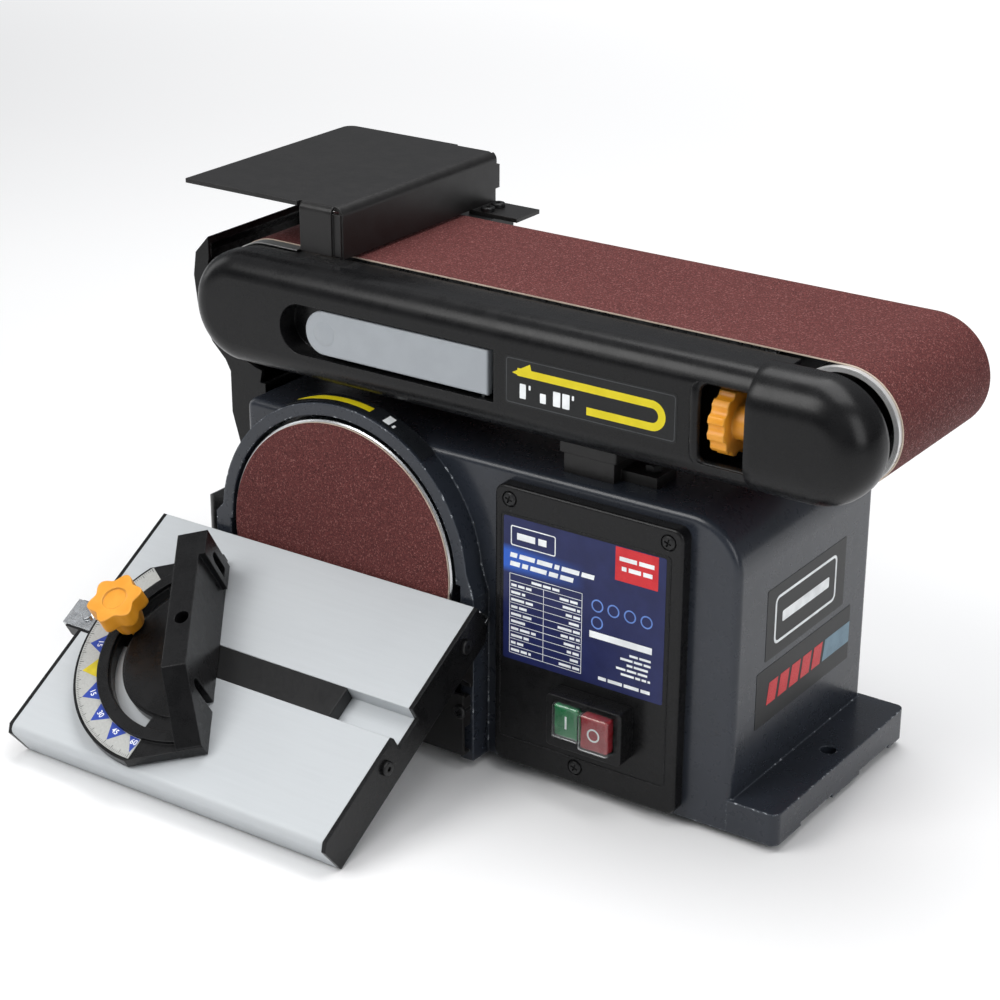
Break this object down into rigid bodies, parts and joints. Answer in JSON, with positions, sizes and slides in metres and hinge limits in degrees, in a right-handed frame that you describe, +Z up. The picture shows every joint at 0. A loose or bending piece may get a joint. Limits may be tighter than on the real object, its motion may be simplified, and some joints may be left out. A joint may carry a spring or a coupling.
{
  "type": "belt and disc bench grinder",
  "caption": "Bench belt grinder with a tilting belt arm, a side abrasive disc, a tilting table and a mitre gauge.",
  "frame": {"origin": "on the bench plane, midway between the two bench-bolt holes", "axes": "+X along the belt arm from the drive drum to the idler, +Y from the disc's face to the back of the machine, +Z up"},
  "size_m": [0.4659, 0.3657, 0.2994],
  "materials": {
    "abrasive": "brown aluminium-oxide abrasive on cloth",
    "alloy": "machined aluminium",
    "bare_steel": "turned and brushed steel",
    "black_alloy": "black painted aluminium casting",
    "black_plastic": "satin black moulded plastic",
    "black_sheet": "satin black powder coat",
    "black_steel": "blackened steel",
    "cast_enamel": "gloss dark blue-grey enamel with a fine orange-peel texture",
    "green_plastic": "green switch button",
    "grey_plastic": "light grey moulded plastic",
    "orange_plastic": "orange-yellow moulded plastic, satin",
    "red_plastic": "red switch button",
    "rubber_black": "black rubber",
    "table_metal": "fine-ground satin cast aluminium",
    "winding": "varnished laminations and copper winding",
    "zinc": "bright zinc plate"
  },
  "bodies": {
    "base": {"base_casting": "cast_enamel", "switch_panel": "black_plastic", "pan_head_screws": "black_steel", "switch_body": "black_plastic", "motor_housing": "alloy", "stator": "winding", "motor_bolts": "zinc", "motor_bearings": "bare_steel", "pulley_cover": "black_plastic", "pivot_bracket": "black_sheet", "hex_bolts": "black_steel", "dust_hood": "black_plastic", "dust_box": "black_plastic", "arm_rest": "black_sheet", "disc_guard": "black_sheet", "table_supports": "black_sheet", "power_cord": "rubber_black", "cord_grip": "rubber_black", "drive_belt": "rubber_black"},
    "motor": {"motor_rotor": "bare_steel", "motor_shaft": "bare_steel", "disc_plate": "alloy", "disc_set_screw": "black_steel", "abrasive_disc": "abrasive", "motor_pulley": "alloy"},
    "arm": {"arm_frame": "black_alloy", "arm_cover": "black_plastic", "arm_cover_screws": "zinc", "platen": "bare_steel", "sanding_belt": "abrasive", "drum_bearings": "bare_steel", "lever_pin": "bare_steel", "tension_spring": "bare_steel", "work_support": "black_sheet", "work_support_screws": "black_steel"},
    "drum": {"drive_drum": "alloy", "drum_shaft": "bare_steel", "drum_pulley": "alloy"},
    "carriage": {"idler_carriage": "black_steel", "idler_axle": "bare_steel"},
    "idler": {"idler_roller": "alloy", "idler_bearings": "bare_steel"},
    "lever": {"tension_lever": "grey_plastic"},
    "tracking": {"tracking_knob": "orange_plastic", "tracking_screw": "zinc"},
    "table": {"table_top": "table_metal", "table_end_plates": "black_plastic", "end_plate_screws": "black_steel", "table_trunnions": "bare_steel"},
    "table_clamp": {"table_clamp_lever": "black_plastic"},
    "gauge_bar": {"mitre_bar": "black_steel", "mitre_pointer": "zinc", "mitre_pivot_screw": "black_steel"},
    "gauge_head": {"mitre_head": "black_plastic", "mitre_scale": "alloy"},
    "gauge_knob": {"mitre_knob": "orange_plastic"},
    "start": {"start_button": "green_plastic"},
    "stop": {"stop_button": "red_plastic"}
  },
  "joints": [
    {"name": "motor_spin", "type": "hinge", "parent": "base", "child": "motor", "pos_m": [-0.0845, -0.096, 0.105], "axis": [0, 1, 0], "continuous": true},
    {"name": "arm_tilt", "type": "hinge", "parent": "base", "child": "arm", "pos_m": [-0.1569, 0.061, 0.2316], "axis": [0, -1, 0], "range_deg": [0, 90]},
    {"name": "drum_spin", "type": "hinge", "parent": "arm", "child": "drum", "pos_m": [-0.1569, -0.006, 0.2316], "axis": [0, 1, 0], "continuous": true},
    {"name": "idler_spin", "type": "hinge", "parent": "carriage", "child": "idler", "pos_m": [0.2014, -0.006, 0.2316], "axis": [0, 1, 0], "continuous": true},
    {"name": "lever_swing", "type": "hinge", "parent": "arm", "child": "lever", "pos_m": [0.0095, -0.0895, 0.231], "axis": [0, 0, 1], "range_deg": [0, 90]},
    {"name": "carriage_slide", "type": "slide", "parent": "arm", "child": "carriage", "axis": [1, 0, 0], "range_m": [-0.00401, 0]},
    {"name": "tracking_turn", "type": "hinge", "parent": "carriage", "child": "tracking", "pos_m": [0.1535, -0.081, 0.2316], "axis": [1, 0, 0], "range_deg": [-360, 360]},
    {"name": "table_tilt", "type": "hinge", "parent": "base", "child": "table", "pos_m": [-0.0845, -0.0984, 0.097], "axis": [1, 0, 0], "range_deg": [-30.98, 14.02]},
    {"name": "table_clamp_turn", "type": "hinge", "parent": "base", "child": "table_clamp", "pos_m": [-0.1845, -0.09735, 0.08204], "axis": [1, 0, 0], "range_deg": [-35, 35]},
    {"name": "gauge_slide", "type": "slide", "parent": "table", "child": "gauge_bar", "axis": [1, 0, 0], "range_m": [-0.06, 0.04]},
    {"name": "gauge_swivel", "type": "hinge", "parent": "gauge_bar", "child": "gauge_head", "pos_m": [-0.1228, -0.16716, 0.05805], "axis": [0, -0.5147, 0.8573], "range_deg": [-78, 18]},
    {"name": "gauge_knob_turn", "type": "hinge", "parent": "gauge_bar", "child": "gauge_knob", "pos_m": [-0.1743, -0.17642, 0.07348], "axis": [0, -0.5147, 0.8573], "range_deg": [-360, 360]},
    {"name": "start_press", "type": "slide", "parent": "base", "child": "start", "axis": [0, 1, 0], "range_m": [0, 0.003], "stiffness_N_per_m": 200},
    {"name": "stop_press", "type": "slide", "parent": "base", "child": "stop", "axis": [0, 1, 0], "range_m": [0, 0.004], "stiffness_N_per_m": 200}
  ],
  "couplings": [
    {"joint": "drum_spin", "follows": "motor_spin", "ratio": 0.78899},
    {"joint": "idler_spin", "follows": "motor_spin", "ratio": 0.78899},
    {"joint": "carriage_slide", "follows": "lever_swing", "m_per_rad": -0.0025465}
  ]
}
